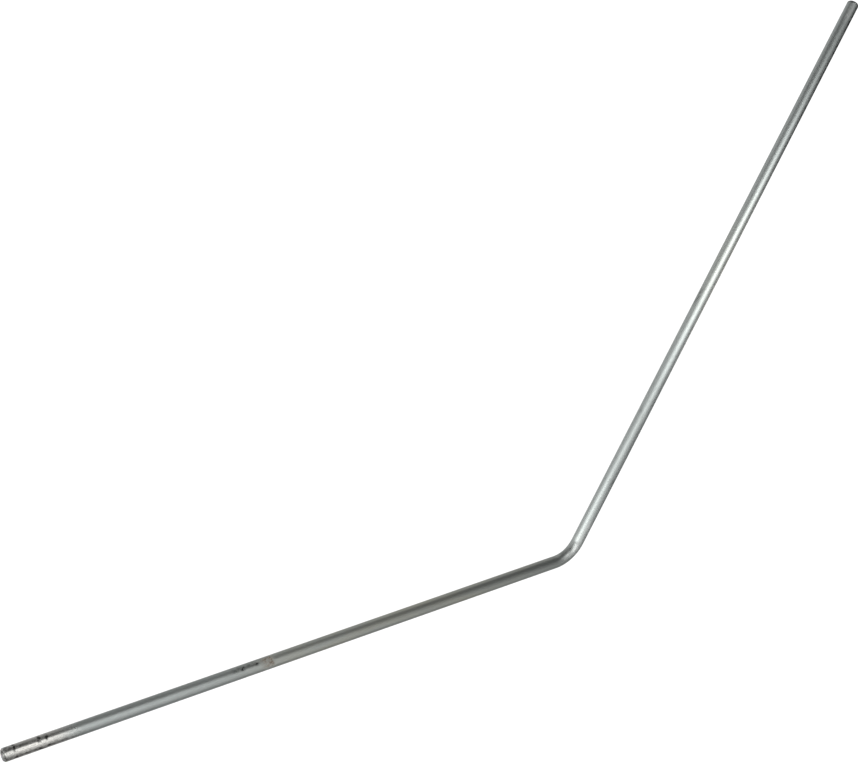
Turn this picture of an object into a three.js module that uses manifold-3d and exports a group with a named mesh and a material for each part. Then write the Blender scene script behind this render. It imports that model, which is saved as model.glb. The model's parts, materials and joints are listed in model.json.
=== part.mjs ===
// A drill mixing rod: one length of round steel bar with a single bend, gripped in a drill chuck.
// Millimetres. The bar lies flat, its bend in the XY plane and +Z up. The origin is the centre of
// the shank's end face; the shank runs along +X and the arm turns off it towards +Y.
import * as THREE from "three";
import { mergeVertices } from "three/addons/utils/BufferGeometryUtils.js";
import Module from "manifold-3d";

const barDiameter = 10;
const barLength = 1000; // along the centreline, end to end
const shankToCorner = 475; // shank end to where the two legs' centrelines would cross
const bendAngle = THREE.MathUtils.degToRad(50); // how far the arm turns off the shank's line
const bendRadius = 32; // of the centreline
const endChamfer = 1.3;
const sectionSides = 32; // a multiple of 4, so that flats face up, down and to both sides
const bendSteps = 20;

const barRadius = barDiameter / 2;
const cornerScale = 1 / Math.cos(Math.PI / sectionSides); // corner distance over flat distance
const shankLength = shankToCorner - bendRadius * Math.tan(bendAngle / 2); // its straight part
const armLength = barLength - shankLength - bendRadius * bendAngle; // its straight part
const axisUp = new THREE.Vector3(0, 0, 1);

// The direction of the centreline after it has turned by an angle.
function headingAt(angle) {
  return new THREE.Vector3(Math.cos(angle), Math.sin(angle), 0);
}

// The point of the bend's arc where the centreline has turned by an angle.
function bendPoint(angle) {
  const aside = bendRadius * (1 - Math.cos(angle));
  return new THREE.Vector3(shankLength + bendRadius * Math.sin(angle), aside, 0);
}

// The centreline: straight shank, arc, straight arm. It is divided into one step for each straight
// part and equal steps around the arc, because a straight part needs no stations along it.
class BentCentreline extends THREE.Curve {
  turnAt(u) {
    const step = Math.round(u * centrelineSteps);
    return (bendAngle * THREE.MathUtils.clamp(step - 1, 0, bendSteps)) / bendSteps;
  }

  getPointAt(u, target = new THREE.Vector3()) {
    const step = Math.round(u * centrelineSteps);
    if (step === 0) return target.set(0, 0, 0);
    target.copy(bendPoint(this.turnAt(u)));
    if (step === centrelineSteps) target.addScaledVector(headingAt(bendAngle), armLength);
    return target;
  }

  getTangentAt(u, target = new THREE.Vector3()) {
    return target.copy(headingAt(this.turnAt(u)));
  }
}
const centrelineSteps = bendSteps + 2;

// The round section as a polygon whose flats, not its corners, are one radius from the centre.
function roundSection() {
  const corners = [];
  for (let i = 0; i < sectionSides; i++) {
    const angle = ((i + 0.5) * 2 * Math.PI) / sectionSides;
    corners.push(new THREE.Vector2(Math.cos(angle), Math.sin(angle)));
  }
  corners.forEach((corner) => corner.multiplyScalar(barRadius * cornerScale));
  return new THREE.Shape(corners);
}

function barGeometry() {
  const path = new BentCentreline();
  return new THREE.ExtrudeGeometry(roundSection(), { steps: centrelineSteps, extrudePath: path });
}

// A ring around the bar's end that leaves a 45 degree chamfer. Its own +Y points into the bar,
// and its flats line up with the bar's.
function chamferCutter() {
  const clear = 1; // how far the ring runs past the bar, so that no faces coincide
  const inner = new THREE.Vector2(barRadius - endChamfer - clear, -clear);
  const mouth = new THREE.Vector2(barRadius + clear, endChamfer + clear);
  const outer = new THREE.Vector2(barRadius + clear, -clear);
  const profile = [inner, outer, mouth, inner.clone()];
  profile.forEach((point) => point.setX(point.x * cornerScale));
  return new THREE.LatheGeometry(profile, sectionSides, Math.PI / sectionSides);
}

// The cutter turned so that its +Y follows a heading in the XY plane, and moved to an end.
function placedCutter(end, heading) {
  const turn = Math.atan2(heading.y, heading.x) - Math.PI / 2;
  const place = new THREE.Matrix4().makeRotationAxis(axisUp, turn).setPosition(end);
  return chamferCutter().applyMatrix4(place);
}

const wasm = await Module();
wasm.setup();

function solidOf(geometry) {
  geometry.deleteAttribute("normal");
  geometry.deleteAttribute("uv");
  const merged = mergeVertices(geometry);
  const vertProperties = merged.getAttribute("position").array;
  const triVerts = new Uint32Array(merged.index.array);
  return new wasm.Manifold(new wasm.Mesh({ numProp: 3, vertProperties, triVerts }));
}

function geometryOf(solid) {
  const { vertProperties, triVerts } = solid.getMesh();
  const geometry = new THREE.BufferGeometry();
  geometry.setAttribute("position", new THREE.BufferAttribute(vertProperties, 3));
  geometry.setIndex(new THREE.BufferAttribute(triVerts, 1));
  geometry.computeVertexNormals();
  return geometry;
}

function mixingRod() {
  const path = new BentCentreline();
  const shankCutter = placedCutter(path.getPointAt(0), headingAt(0));
  const armCutter = placedCutter(path.getPointAt(1), headingAt(bendAngle).negate());
  const bar = solidOf(barGeometry()).subtract(solidOf(shankCutter)).subtract(solidOf(armCutter));
  const steel = new THREE.MeshStandardMaterial({
    color: 0x9a9d9e,
    roughness: 0.35,
    metalness: 1,
  });
  const rod = new THREE.Mesh(geometryOf(bar), steel);
  rod.name = "mixing_rod";
  return rod;
}

const part = new THREE.Group();
part.add(mixingRod());

export default part;
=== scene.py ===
# A drill mixing rod: one bent length of drawn steel bar, lying on a plain white floor.
# Metres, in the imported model's frame: the origin is the centre of the shank's end face, the shank
# runs along +X, the arm turns off it towards +Y, and +Z is up.
import json
import math

import bpy
import numpy as np
from mathutils import Matrix, Vector


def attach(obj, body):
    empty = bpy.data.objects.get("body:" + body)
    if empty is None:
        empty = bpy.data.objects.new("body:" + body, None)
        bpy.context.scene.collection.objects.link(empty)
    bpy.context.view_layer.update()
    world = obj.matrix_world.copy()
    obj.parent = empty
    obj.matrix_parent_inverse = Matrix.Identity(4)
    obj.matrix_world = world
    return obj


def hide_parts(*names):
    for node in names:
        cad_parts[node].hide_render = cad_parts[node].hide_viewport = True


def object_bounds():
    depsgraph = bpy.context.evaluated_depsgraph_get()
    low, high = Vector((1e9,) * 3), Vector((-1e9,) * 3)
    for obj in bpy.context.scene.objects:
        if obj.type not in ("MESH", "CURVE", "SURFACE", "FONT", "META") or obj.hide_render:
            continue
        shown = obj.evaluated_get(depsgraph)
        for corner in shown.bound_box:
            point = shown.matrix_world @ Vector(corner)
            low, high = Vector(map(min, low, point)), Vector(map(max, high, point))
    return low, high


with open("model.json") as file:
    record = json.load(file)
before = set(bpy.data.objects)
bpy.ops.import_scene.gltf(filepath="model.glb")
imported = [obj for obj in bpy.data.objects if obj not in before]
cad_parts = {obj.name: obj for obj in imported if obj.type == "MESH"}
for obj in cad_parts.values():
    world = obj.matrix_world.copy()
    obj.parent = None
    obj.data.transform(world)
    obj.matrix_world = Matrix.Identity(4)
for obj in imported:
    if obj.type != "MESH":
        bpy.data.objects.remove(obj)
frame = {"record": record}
cad_low, cad_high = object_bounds()

MM = 0.001
NODE = "mixing_rod"
BEND_RADIUS = 32 * MM  # of the centreline
END_CHAMFER = 1.3 * MM
EDGE_ROUNDING = 0.45 * MM  # at both edges of each chamfer
SIDES = 96  # of the bar's round section

# --------------------------------------------------------------------------- the bar's centreline


def mount(name):
    """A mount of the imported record, as its position and its axis."""
    found = next(m for m in frame["record"]["mounts"] if m["name"] == name)
    return Vector(found["pos_m"]), Vector(found["axis"])


ARM_END, ARM_AXIS = mount("arm_end")
BAR_RADIUS = (cad_high.z - cad_low.z) / 2
BEND_ANGLE = math.atan2(ARM_AXIS.y, ARM_AXIS.x)
CORNER_X = ARM_END.x - ARM_END.y / math.tan(BEND_ANGLE)  # where the two legs' lines cross
BEND_START = CORNER_X - BEND_RADIUS * math.tan(BEND_ANGLE / 2)
BEND_END = BEND_START + BEND_RADIUS * BEND_ANGLE
BEND_MIDDLE = (BEND_START + BEND_END) / 2
ARM_STRAIGHT = ARM_END.y / math.sin(BEND_ANGLE) - BEND_RADIUS * math.tan(BEND_ANGLE / 2)
BAR_LENGTH = BEND_END + ARM_STRAIGHT


def centreline(along):
    """Points on the centreline at distances along it, and the direction to the bend's inside."""
    turn = np.clip((along - BEND_START) / BEND_RADIUS, 0, BEND_ANGLE)
    on_shank = np.minimum(along, BEND_START)
    on_arm = np.maximum(along - BEND_END, 0)
    flat = np.zeros_like(along)
    x = on_shank + BEND_RADIUS * np.sin(turn) + on_arm * math.cos(BEND_ANGLE)
    y = BEND_RADIUS * (1 - np.cos(turn)) + on_arm * math.sin(BEND_ANGLE)
    inward = np.stack([-np.sin(turn), np.cos(turn), flat], -1)
    return np.stack([x, y, flat], -1), inward


# --------------------------------------------------------------------------- marks of use, and painted highlights and shade
# A mark's place is its distance along the bar in millimetres, and its angle round the bar in
# degrees, from the bend's inside (0) over the top (90) to the bend's outside (180). Widths are
# half widths. ALL_ROUND is wide enough to cover every angle.

ALL_ROUND = 1000
FAR_END = BAR_LENGTH / MM


def spot(along, angle, place, around, half_length, half_angle, sharpness=2):
    """A soft patch, 1 in its middle, over the given half length and half angle. A sharpness of 2
    fades slowly from the middle out, and one of 4 is nearly even with a short soft edge."""
    lengthwise = np.abs((along - place * MM) / (half_length * MM))
    apart = (angle - math.radians(around) + math.pi) % (2 * math.pi) - math.pi
    sideways = np.abs(apart / math.radians(half_angle))
    return np.exp(-(lengthwise**sharpness) - sideways**sharpness)


def patches(along, angle, rows):
    """The sum of soft patches, each a strength and then spot's numbers from place onwards."""
    total = np.zeros_like(along)
    for strength, *place in rows:
        total += strength * spot(along, angle, *place)
    return total


JAWS = (28, 148, 268)  # the angles of the chuck's three jaws
JAW_HALF_ANGLE = 34
# Where the jaws scored the shank: along, half width, depth.
JAW_SCORES = ((8.5, 0.6, 0.10), (26.0, 0.9, 0.12), (31.5, 0.7, 0.09))

# Where a clamp bit into the shank: along, angle, half length, half angle, depth.
CLAMP_BITES = (
    (174.5, 49, 1.8, 12, 0.05),
    (180.0, 46, 1.6, 14, 0.11),
    (191.5, 43, 1.1, 13, 0.07),
    (185.5, 46, 4.0, 8, 0.02),
)

# Nicks in the arm's edges: along, angle, half length, half angle, depth.
EDGE_NICKS = ((544, 96, 2.2, 14, 0.10), (608, 16, 2.2, 14, 0.05), (714, 0, 6.0, 16, 0.16))

# How the bend flattened the bar, on its inside and its outside: angle, half angle, half length,
# depth.
BEND_FLATS = ((0, 44, 9, 0.40), (180, 42, 10, 0.25))

# The rest are patches of the surface: strength, along, angle, half length, half angle, sharpness.
# Dark dirt and burnt oil, and painted shade in the rows marked so.
GRIME_AND_SHADE_PATCHES = (
    (0.36, 3, 20, 6.5, 42, 4),  # burnt oil at the very end of the shank
    (0.10, 16, 12, 26, 34, 4),
    (0.50, 14, 30, 2.6, 12),
    # painted shade: the shank's lower side darkened near its end, so its highlight falls off sooner
    (0.36, 14, 122, 40, 42, 4),
    (0.60, 9, 112, 0.9, 9),  # four specks where the jaws' edges pressed
    (0.60, 15, 112, 0.9, 9),
    (0.60, 26, 112, 0.9, 9),
    (0.60, 32, 112, 0.9, 9),
    # painted shade: the shank's end face darkened, as if in shade
    (0.70, 0, 0, 0.35, ALL_ROUND),  # the end face
    (0.25, 183, 30, 11, 24, 4),  # round the clamp's bites
    # painted shade: the arm's tip, and a dark line along its outer side near the tip, darkened as if
    # in shade
    (0.80, FAR_END, 0, 2, ALL_ROUND, 4),  # the arm's tip, and its outer side
    (0.95, FAR_END, 130, 150, 29, 3),
)
RUST_AND_SHADE_PATCHES = (
    (0.75, 199.5, 56, 4.5, 50, 4),  # beside the clamp's bites, thickest along its far edge
    (0.35, 203.5, 58, 1.6, 46, 4),
    (0.50, 196, 24, 7, 12),
    (0.12, 602, 75, 4, 22),  # faint, on the arm
    # partly rust, partly painted shade: a dark brown line along the arm's outer edge, where its dark
    # reflection falls
    (1.00, 725, 134, 80, 22),
)
SCUFFS_AND_HIGHLIGHTS = (
    # partly rubbed steel, partly a painted highlight: lighter steel where the bend's highlight starts
    (0.50, 480, 74, 15, 26),  # on the bend
    (0.50, 502, 86, 4, 16),
    (0.50, 184, 66, 7, 8),  # beside the clamp's bites
    (0.70, 990, 58, 8, 30, 4),  # near the arm's tip
)
# partly polish, partly a painted highlight: the shank's end smoother, and lighter and warmer in colour
POLISH_AND_HIGHLIGHT_PATCHES = ((1.0, 22, 90, 26, 200, 4),)
STRAW_PATCHES = ((1.0, 330, 0, 130, ALL_ROUND, 4), (0.3, 755, 0, 60, ALL_ROUND))
SCORE_GRIME_SPREAD = 1.3  # how much wider than the score the dirt in it is
BITE_GRIME = 8  # how dark the dirt in a bite or nick is, for each millimetre of its depth
NICK_GRIME = 4


def jaw_scores(along, angle, spread=1.0):
    """The rings that the jaws scored: each ring's depth, and how much of it each point has."""
    for place, half_width, deep in JAW_SCORES:
        width = spread * half_width
        yield deep, sum(spot(along, angle, place, jaw, width, JAW_HALF_ANGLE, 4) for jaw in JAWS)


def dents(along, angle):
    """How deep the surface is pressed in, in metres."""
    depth = sum(deep * ring for deep, ring in jaw_scores(along, angle))
    for *place, deep in CLAMP_BITES + EDGE_NICKS:
        depth += deep * spot(along, angle, *place)
    for side, half_angle, half_length, deep in BEND_FLATS:
        depth += deep * spot(along, angle, BEND_MIDDLE / MM, side, half_length, half_angle)
    return depth * MM


def grime_and_painted_shade(along, angle):
    """Dark, dirty grease and burnt oil, in patches and in the scores, bites and nicks, and painted
    shade in some patches.
    """
    dark = patches(along, angle, GRIME_AND_SHADE_PATCHES)
    dark += sum(ring for _, ring in jaw_scores(along, angle, SCORE_GRIME_SPREAD))
    for *place, deep in CLAMP_BITES:
        dark += BITE_GRIME * deep * spot(along, angle, *place)
    for *place, deep in EDGE_NICKS:
        dark += NICK_GRIME * deep * spot(along, angle, *place)
    return np.clip(dark, 0, 1)


def marks(along, angle):
    """How strong each kind of mark is at each point of the surface, by the name of its value."""
    return {
        # dirt, and painted shade in some patches
        "grime_and_painted_shade": grime_and_painted_shade(along, angle),
        # rust, and a painted dark line of shade along the arm's outer edge
        "rust_and_painted_shade": np.clip(patches(along, angle, RUST_AND_SHADE_PATCHES), 0, 1),
        "scuff_and_painted_highlight": np.clip(patches(along, angle, SCUFFS_AND_HIGHLIGHTS), 0, 1),  # rubbed: the draw lines break up; on the bend, also a painted highlight
        "polish_and_painted_highlight": patches(along, angle, POLISH_AND_HIGHLIGHT_PATCHES),  # smoother from the chuck, and a painted highlight: lighter, warmer steel
        "straw": patches(along, angle, STRAW_PATCHES),  # faintly yellow, from a film of old oil
    }


# --------------------------------------------------------------------------- the bar's mesh

# Distances along the bar, in millimetres, between which the rings are closer, and their spacing.
CLOSE_RINGS = (
    (0, 36, 0.35),
    (166, 208, 0.45),
    (455, 512, 1.0),
    (608, 616, 0.5),
    (708, 718, 0.5),
    (990, 1000, 0.5),
)
PLAIN_SPACING = 4


def ring_stations():
    """Distances along the bar at which its round section is drawn, between the two chamfers."""
    first = END_CHAMFER / MM
    last = BAR_LENGTH / MM - END_CHAMFER / MM
    stations = [first]
    while stations[-1] < last:
        here = stations[-1]
        close = [step for start, end, step in CLOSE_RINGS if start <= here < end]
        ahead = [start for start, _, _ in CLOSE_RINGS if start > here]
        step = close[0] if close else min([PLAIN_SPACING] + [start - here for start in ahead])
        stations.append(here + step)
    stations[-1] = last
    return np.array(stations) * MM


def rounded_corner(before, corner, after, steps=5):
    """A corner of the end's profile, with a curve in place of the sharp point."""
    before, corner, after = (np.array(p, float) for p in (before, corner, after))
    into = corner + (before - corner) / np.linalg.norm(before - corner) * EDGE_ROUNDING
    out = corner + (after - corner) / np.linalg.norm(after - corner) * EDGE_ROUNDING
    share = np.linspace(0, 1, steps)[:, None]
    return (1 - share) ** 2 * into + 2 * share * (1 - share) * corner + share**2 * out


def end_profile():
    """An end's profile as rows of (distance in from the end, radius), from its face outwards."""
    rim = (0, BAR_RADIUS - END_CHAMFER)
    shoulder = (END_CHAMFER, BAR_RADIUS)
    face = [(0, share * rim[1]) for share in (0.12, 0.3, 0.5, 0.7)]
    beyond = (2 * END_CHAMFER, BAR_RADIUS)
    curves = [rounded_corner(face[0], rim, shoulder), rounded_corner(rim, shoulder, beyond)]
    return np.vstack([face] + curves)


def profile_rows():
    """The whole bar's profile: distance along and radius of every ring, end to end."""
    near = end_profile()
    far = near[::-1].copy()
    far[:, 0] = BAR_LENGTH - far[:, 0]
    body = ring_stations()
    body = body[(body > near[-1, 0]) & (body < far[0, 0])]
    middle = np.stack([body, np.full_like(body, BAR_RADIUS)], -1)
    return np.vstack([near, middle, far])


def ring_faces(rows):
    """Quads between neighbouring rings, and a fan of triangles at each end's centre point."""
    near_centre = rows * SIDES
    far_centre = near_centre + 1
    last = (rows - 1) * SIDES
    faces = []
    for i in range(rows - 1):
        for j in range(SIDES):
            a = i * SIDES + j
            b = i * SIDES + (j + 1) % SIDES
            faces.append((a, b, b + SIDES, a + SIDES))
    faces += [(near_centre, (j + 1) % SIDES, j) for j in range(SIDES)]
    faces += [(far_centre, last + j, last + (j + 1) % SIDES) for j in range(SIDES)]
    return faces


def add_uv(mesh, around, travelled):
    """A UV map with U round the bar and V along its profile, which gives the draw lines' grain."""
    layer = mesh.uv_layers.new(name="round_and_along")
    for polygon in mesh.polygons:
        turns = [around[mesh.loops[i].vertex_index] for i in polygon.loop_indices]
        wraps = max(turns) - min(turns) > 0.5
        for loop_index, turn in zip(polygon.loop_indices, turns):
            vertex = mesh.loops[loop_index].vertex_index
            shift = 1 if wraps and turn < 0.5 else 0
            layer.data[loop_index].uv = (turn + shift, travelled[vertex] / (2 * math.pi * BAR_RADIUS))


def add_values(mesh, name, values):
    """A number, or a vector, kept at every vertex for the material to read."""
    if values.ndim == 2:
        attribute = mesh.attributes.new(name, "FLOAT_VECTOR", "POINT")
        attribute.data.foreach_set("vector", values.astype(np.float32).ravel())
        return
    attribute = mesh.attributes.new(name, "FLOAT", "POINT")
    attribute.data.foreach_set("value", values.astype(np.float32))


def bent_bar():
    """The rod: its round section swept along the centreline, with its ends, dents and bend."""
    rows = profile_rows()
    turn = np.arange(SIDES) * 2 * math.pi / SIDES
    along, angle = (grid.ravel() for grid in np.meshgrid(rows[:, 0], turn, indexing="ij"))
    radius = np.repeat(rows[:, 1], SIDES)
    radius = radius - dents(along, angle) * radius / BAR_RADIUS
    along = np.append(along, [0, BAR_LENGTH])
    angle = np.append(angle, [0, 0])
    radius = np.append(radius, [0, 0])
    centre, inward = centreline(along)
    sideways = inward * (radius * np.cos(angle))[:, None]
    upwards = np.array([0, 0, 1]) * (radius * np.sin(angle))[:, None]
    mesh = bpy.data.meshes.new("bent_bar")
    mesh.from_pydata((centre + sideways + upwards).tolist(), [], ring_faces(len(rows)))
    mesh.polygons.foreach_set("use_smooth", [True] * len(mesh.polygons))
    steps = np.linalg.norm(np.diff(rows, axis=0), axis=1)
    travelled = np.repeat(np.concatenate([[0], np.cumsum(steps)]), SIDES)
    add_uv(mesh, angle / (2 * math.pi), np.append(travelled, [0, travelled[-1]]))
    straightened = np.stack([along, radius * np.cos(angle), radius * np.sin(angle)], -1)
    add_values(mesh, "straightened", straightened)
    for name, strength in marks(along, angle).items():
        add_values(mesh, name, strength)
    mesh.update()
    bar = bpy.data.objects.new("bent_bar", mesh)
    bpy.context.scene.collection.objects.link(bar)
    return bar


# --------------------------------------------------------------------------- materials


class Nodes:
    """Short calls for making the nodes of one material."""

    def __init__(self, name):
        self.material = bpy.data.materials.new(name)
        self.material.use_nodes = True
        self.tree = self.material.node_tree
        self.tree.nodes.clear()

    def add(self, kind, settings=None, **inputs):
        node = self.tree.nodes.new(kind)
        for key, value in (settings or {}).items():
            setattr(node, key, value)
        for key, value in inputs.items():
            self.join(node.inputs[key.replace("_", " ")], value)
        return node

    def join(self, socket, value):
        if isinstance(value, bpy.types.NodeSocket):
            self.tree.links.new(value, socket)
        else:
            socket.default_value = value

    def math(self, operation, a, b=0.0, clamp=False):
        node = self.tree.nodes.new("ShaderNodeMath")
        node.operation = operation
        node.use_clamp = clamp
        self.join(node.inputs[0], a)
        self.join(node.inputs[1], b)
        return node.outputs[0]

    def noise(self, coordinates, stretch, detail=3.0, roughness=0.55):
        """Noise over the straightened bar: stretch is its fineness along and across, per metre."""
        lengthwise, across = stretch
        scaled = self.add("ShaderNodeMapping", Vector=coordinates, Scale=(lengthwise, across, across))
        node = self.add("ShaderNodeTexNoise", Vector=scaled.outputs[0], Scale=1.0, Detail=detail)
        node.inputs["Roughness"].default_value = roughness
        return node.outputs["Fac"]

    def ramp(self, value, start, end, low=0.0, high=1.0):
        node = self.tree.nodes.new("ShaderNodeMapRange")
        for socket, given in zip(node.inputs, (value, start, end, low, high)):
            self.join(socket, given)
        return node.outputs[0]

    def mix(self, share, a, b):
        node = self.tree.nodes.new("ShaderNodeMix")
        node.data_type = "RGBA"
        colour_a, colour_b = node.inputs[6], node.inputs[7]
        self.join(node.inputs[0], share)
        self.join(colour_a, a)
        self.join(colour_b, b)
        return node.outputs[2]

    def value(self, name):
        node = self.add("ShaderNodeAttribute", {"attribute_name": name})
        return node.outputs["Fac"]

    def finish(self, shader):
        output = self.tree.nodes.new("ShaderNodeOutputMaterial")
        self.tree.links.new(shader.outputs[0], output.inputs["Surface"])
        return self.material


STEEL_LIGHT = (0.566, 0.606, 0.594, 1)
STEEL_DARK = (0.490, 0.525, 0.513, 1)
STEEL_STRAW = (0.592, 0.600, 0.528, 1)
STEEL_RUBBED_OR_HIGHLIT = (0.780, 0.795, 0.775, 1)
STEEL_POLISHED_AND_HIGHLIT = (0.820, 0.790, 0.745, 1)
DIRT_AND_SHADE_COLOUR = (0.030, 0.032, 0.028, 1)
RUST_AND_SHADE_DARK = (0.110, 0.078, 0.058, 1)
RUST_AND_SHADE_PALE = (0.300, 0.255, 0.200, 1)
LINE_RELIEF = 0.002 * MM  # how high the draw lines stand


def clean_colour(n, place, grain, polished_and_highlit, rubbed_or_highlit):
    """Bare steel: lighter and darker along its lines, yellowed, worn smooth and scuffed in places,
    where lighter steel is also a painted highlight.
    """
    mottle = n.noise(place, (70, 140), detail=4, roughness=0.6)
    tone = n.math("ADD", n.math("MULTIPLY", grain, 0.6), n.math("MULTIPLY", mottle, 0.4))
    steel = n.mix(n.ramp(tone, 0.36, 0.64), STEEL_DARK, STEEL_LIGHT)
    uneven = n.ramp(n.noise(place, (16, 90), detail=2), 0.35, 0.6, 0.4, 1.1)
    steel = n.mix(n.math("MULTIPLY", n.value("straw"), uneven, True), steel, STEEL_STRAW)
    # painted highlight: lighter, warmer steel where the chuck polished the shank
    steel = n.mix(n.math("MULTIPLY", polished_and_highlit, 0.7), steel, STEEL_POLISHED_AND_HIGHLIT)
    # lighter rubbed steel, which on the bend is also a painted highlight
    return n.mix(rubbed_or_highlit, steel, STEEL_RUBBED_OR_HIGHLIT)


def soiled_colour(n, steel, rusted_or_shaded, dirt_and_shade, speckle):
    """The colour with rusty patches over the steel, and dirty ones over both, some of each being
    painted shade.
    """
    rust_and_painted_shade = n.mix(n.ramp(speckle, 0.4, 0.6), RUST_AND_SHADE_DARK, RUST_AND_SHADE_PALE)
    # rust, and the painted shade along the arm's outer edge, in the rust's colours
    colour = n.mix(rusted_or_shaded, steel, rust_and_painted_shade)
    # the dark colour over both: dirt, and painted shade where the patches are shade
    return n.mix(n.math("MULTIPLY", dirt_and_shade, 0.9), colour, DIRT_AND_SHADE_COLOUR)


def satin_roughness(n, grain, polished_and_highlit, rubbed_or_highlit, rusted_or_shaded):
    """Satin all over, smoother where polished, and rougher where rubbed or rusted."""
    rough = n.math("ADD", n.ramp(grain, 0.3, 0.7, 0.275, 0.305), n.math("MULTIPLY", rubbed_or_highlit, 0.08))
    rough = n.math("SUBTRACT", rough, n.math("MULTIPLY", polished_and_highlit, 0.10))
    return n.math("ADD", rough, n.math("MULTIPLY", rusted_or_shaded, 0.35))


def surface_relief(n, lines, speckle, polished_and_highlit, rusted_or_shaded):
    """Draw lines, nearly worn away where polished, and pits in the rust."""
    height = n.math("MULTIPLY", lines, n.math("SUBTRACT", 0.8, n.math("MULTIPLY", polished_and_highlit, 0.6)))
    pits = n.math("MULTIPLY", n.math("MULTIPLY", rusted_or_shaded, speckle), 2.0)
    height = n.math("ADD", height, pits)
    return n.add("ShaderNodeBump", Height=height, Distance=LINE_RELIEF, Strength=1.0).outputs[0]


def drawn_steel():
    """Drawn steel: satin, with fine lines along the bar, slight mottling, marks of use, and painted
    highlights and shade.
    """
    n = Nodes("satin_drawn_steel")
    place = n.add("ShaderNodeAttribute", {"attribute_name": "straightened"}).outputs["Vector"]
    lines = n.noise(place, (8, 900), detail=3)
    bands = n.noise(place, (3, 350), detail=2)
    grain = n.math("ADD", n.math("MULTIPLY", lines, 0.5), n.math("MULTIPLY", bands, 0.5))
    speckle = n.noise(place, (900, 1400), detail=3, roughness=0.65)
    blotches = n.noise(place, (380, 480), detail=3)

    polished_and_highlit = n.value("polish_and_painted_highlight")
    rubbed_or_highlit = n.math("MULTIPLY", n.value("scuff_and_painted_highlight"), n.ramp(lines, 0.30, 0.62, 0.5, 1.0))
    rusted_or_shaded = n.math("MULTIPLY", n.value("rust_and_painted_shade"), n.ramp(blotches, 0.36, 0.62, 0.4, 1.2), True)
    dirt_and_shade = n.math("MULTIPLY", n.value("grime_and_painted_shade"), n.ramp(blotches, 0.42, 0.58, 0.3, 1.5), True)
    steel = clean_colour(n, place, grain, polished_and_highlit, rubbed_or_highlit)
    colour = soiled_colour(n, steel, rusted_or_shaded, dirt_and_shade, speckle)
    metal = n.math("SUBTRACT", 1.0, n.math("MULTIPLY", rusted_or_shaded, 0.8), True)
    rough = satin_roughness(n, grain, polished_and_highlit, rubbed_or_highlit, rusted_or_shaded)

    lines_run = n.add("ShaderNodeTangent", {"direction_type": "UV_MAP"})
    lines_run.uv_map = "round_and_along"
    shader = n.add("ShaderNodeBsdfPrincipled", Base_Color=colour, Metallic=metal, Roughness=rough)
    n.join(shader.inputs["Normal"], surface_relief(n, lines, speckle, polished_and_highlit, rusted_or_shaded))
    n.join(shader.inputs["Tangent"], lines_run.outputs[0])
    shader.inputs["Anisotropic"].default_value = 1.0
    return n.finish(shader)


# --------------------------------------------------------------------------- floor, lights, camera

FLOOR_RADIUS = 15
FLOOR_WHITE = (0.86, 0.86, 0.86, 1)
FLOOR_GLOW = 0.6  # keeps the rod's shadow on the floor faint
DOME_TOP = 1.5  # radians up from the horizon, just short of straight up
DOME_STEPS = 12
DOME_GLOW = 1.1
OVERHEAD_STRENGTH = 3.2
OVERHEAD_SPREAD = math.radians(120)
CENTRE = (cad_low + cad_high) / 2


def studio_surface(name, rings, shader_of):
    """A round sheet or bowl about the rod, from rings of (radius, height), for the stage only."""
    sides = 64
    corners = [(0, 0, rings[0][1])]
    for radius, height in rings:
        for i in range(sides):
            turn = 2 * math.pi * i / sides
            corners.append((radius * math.cos(turn), radius * math.sin(turn), height))
    faces = [(0, 1 + i, 1 + (i + 1) % sides) for i in range(sides)]
    for ring in range(len(rings) - 1):
        for i in range(sides):
            a = 1 + ring * sides + i
            b = 1 + ring * sides + (i + 1) % sides
            faces.append((a, a + sides, b + sides, b))
    n = Nodes(name)
    mesh = bpy.data.meshes.new(name)
    mesh.from_pydata(corners, [], faces)
    mesh.materials.append(n.finish(shader_of(n)))
    surface = bpy.data.objects.new(name, mesh)
    surface.location = (CENTRE.x, CENTRE.y, cad_low.z)
    surface.visible_glossy = False
    surface.visible_shadow = False
    bpy.context.scene.collection.objects.link(surface)
    return surface


def white_floor():
    """A plain matt floor that the rod lies on. The metal doesn't mirror it."""

    def matt_white(n):
        matt = n.add("ShaderNodeBsdfDiffuse", Color=FLOOR_WHITE)
        glow = n.add("ShaderNodeEmission", Color=FLOOR_WHITE, Strength=FLOOR_GLOW)
        both = n.tree.nodes.new("ShaderNodeAddShader")
        n.join(both.inputs[0], matt.outputs[0])
        n.join(both.inputs[1], glow.outputs[0])
        return both

    studio_surface("floor", [(FLOOR_RADIUS, 0)], matt_white)


def white_backdrop():
    """A white dome beyond the floor, seen only by a camera that looks towards the horizon."""
    climbs = np.linspace(0, DOME_TOP, DOME_STEPS)
    rings = [(FLOOR_RADIUS * math.cos(x), FLOOR_RADIUS * math.sin(x)) for x in climbs]
    dome = studio_surface("backdrop", rings, lambda n: n.add("ShaderNodeEmission", Strength=DOME_GLOW))
    dome.visible_diffuse = False


def overhead_light():
    """Soft light from straight above, which makes the floor white. The metal doesn't mirror it."""
    light = bpy.data.lights.new("overhead", "SUN")
    light.energy = OVERHEAD_STRENGTH
    light.angle = OVERHEAD_SPREAD
    lamp = bpy.data.objects.new("overhead", light)
    lamp.location = (CENTRE.x, CENTRE.y, 3)
    lamp.visible_glossy = False
    bpy.context.scene.collection.objects.link(lamp)


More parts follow.
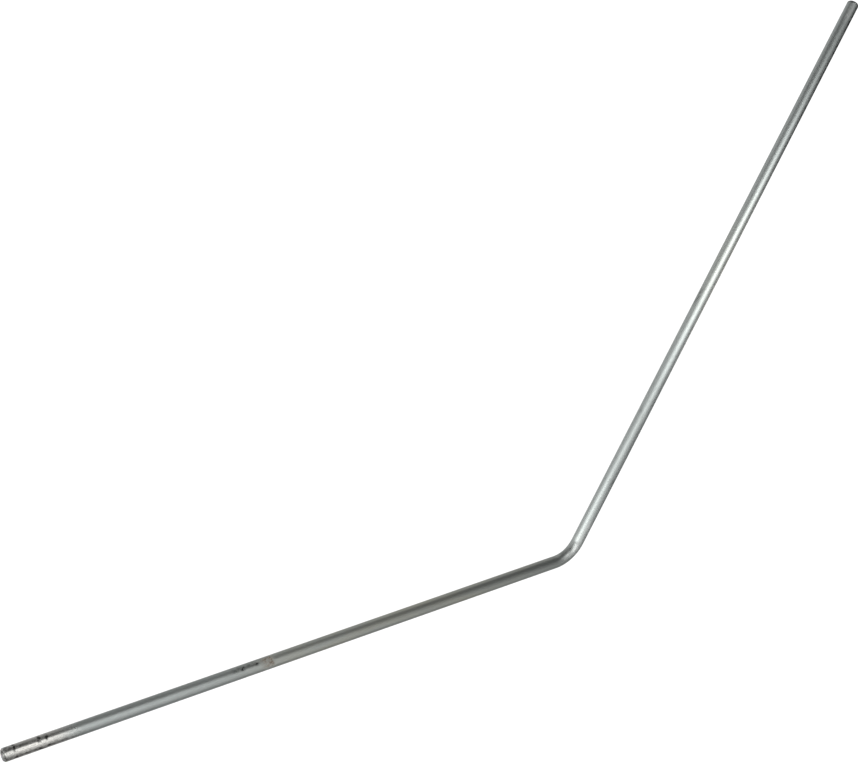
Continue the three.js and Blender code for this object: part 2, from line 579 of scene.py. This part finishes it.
class Room:
    """The room as the metal mirrors it: even soft grey, with soft boxes that fade at their edges."""

    def __init__(self):
        world = bpy.data.worlds.new("room")
        world.use_nodes = True
        bpy.context.scene.world = world
        world.cycles_visibility.diffuse = False
        self.tree = world.node_tree
        self.tree.nodes.clear()
        self.direction = self.tree.nodes.new("ShaderNodeTexCoord").outputs["Generated"]
        self.total = None

    def math(self, operation, a, b=0.0):
        node = self.tree.nodes.new("ShaderNodeMath")
        node.operation = operation
        for socket, value in zip(node.inputs, (a, b)):
            if isinstance(value, bpy.types.NodeSocket):
                self.tree.links.new(value, socket)
            else:
                socket.default_value = value
        return node.outputs[0]

    def along(self, axis):
        """How far the looked-at direction goes along an axis."""
        node = self.tree.nodes.new("ShaderNodeVectorMath")
        node.operation = "DOT_PRODUCT"
        self.tree.links.new(self.direction, node.inputs[0])
        node.inputs[1].default_value = axis
        return node.outputs["Value"]

    def add(self, light):
        self.total = light if self.total is None else self.math("ADD", self.total, light)

    def even_light(self, level, slope, minimum):
        """Grey all round, changing gently along the slope, and nowhere darker than the minimum."""
        self.add(self.math("MAXIMUM", self.math("ADD", self.along(slope), level), minimum))

    def soft_box(self, azimuth, elevation, width, height, roll, strength):
        """A soft box. Angles are in degrees: the azimuth turns from +X towards +Y, the width and
        the height are how far from its middle it has faded to a third, and roll turns it."""
        az, el, tilt = (math.radians(x) for x in (azimuth, elevation, roll))
        towards = Vector((math.cos(el) * math.cos(az), math.cos(el) * math.sin(az), math.sin(el)))
        level = Vector((-math.sin(az), math.cos(az), 0))
        upright = towards.cross(level)
        across = level * math.cos(tilt) + upright * math.sin(tilt)
        x = self.along(across / math.radians(width))
        y = self.along(towards.cross(across) / math.radians(height))
        spread = self.math("ADD", self.math("MULTIPLY", x, x), self.math("MULTIPLY", y, y))
        glow = self.math("EXPONENT", self.math("MULTIPLY", spread, -1.0))
        in_front = self.math("GREATER_THAN", self.along(towards), 0.0)
        self.add(self.math("MULTIPLY", self.math("MULTIPLY", glow, in_front), strength))

    def finish(self, brightness):
        shade = self.tree.nodes.new("ShaderNodeBackground")
        output = self.tree.nodes.new("ShaderNodeOutputWorld")
        self.tree.links.new(self.math("MULTIPLY", self.total, brightness), shade.inputs["Strength"])
        self.tree.links.new(shade.outputs[0], output.inputs["Surface"])


def studio_light():
    """Three strong soft boxes, high on the arm's side, make the highlights along the two legs.
    The rest are weaker, and light the edges, the bend and the shank's end."""
    room = Room()
    room.even_light(0.15, (-0.2, -0.15, -0.5), 0.09)
    room.soft_box(102, 67, 5, 25, 38, 3.8)
    room.soft_box(140, 33, 20, 5, 90, 3.6)
    room.soft_box(76, 52, 18, 6, 145, 2.2)
    room.soft_box(285, 88, 40, 5, 125, 1.0)
    room.soft_box(293, 53, 10, 33, 15, 0.6)
    room.soft_box(128, -15, 37, 5, 62, 0.4)
    room.soft_box(63, -23, 10, 13, 140, 0.6)
    room.soft_box(127, 42, 5, 12, 0, 0.8)
    room.soft_box(176, 8, 8, 8, 0, 2)
    room.finish(1.27)


# The camera's place and turn, from the point it aims at: +X is right and +Y is up in its picture.
CAMERA_AIM = CENTRE + Vector((-0.0444, -0.0220, 0))
CAMERA_DISTANCE = 1.2067
CAMERA_BACK = Vector((-0.4612, 0.2777, 0.8427)).normalized()
CAMERA_UP = Vector((0.2345, 0.9542, -0.1860))
CAMERA_LENS = 66.95
CAMERA_SENSOR = 36  # millimetres, like the lens


def main_camera():
    right = CAMERA_UP.cross(CAMERA_BACK).normalized()
    up = CAMERA_BACK.cross(right)
    camera = bpy.data.objects.new("camera", bpy.data.cameras.new("camera"))
    camera.data.lens = CAMERA_LENS
    camera.data.sensor_width = CAMERA_SENSOR
    camera.data.clip_start = 0.05
    camera.data.clip_end = 100
    turned = Matrix((right, up, CAMERA_BACK)).transposed().to_4x4()
    camera.matrix_world = Matrix.Translation(CAMERA_AIM + CAMERA_BACK * CAMERA_DISTANCE) @ turned
    bpy.context.scene.collection.objects.link(camera)
    bpy.context.scene.camera = camera


bar = bent_bar()
bar.data.materials.append(drawn_steel())
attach(bar, "root")
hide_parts(NODE)

white_floor()
white_backdrop()
overhead_light()
studio_light()
main_camera()
bpy.context.scene.view_settings.view_transform = "Standard"
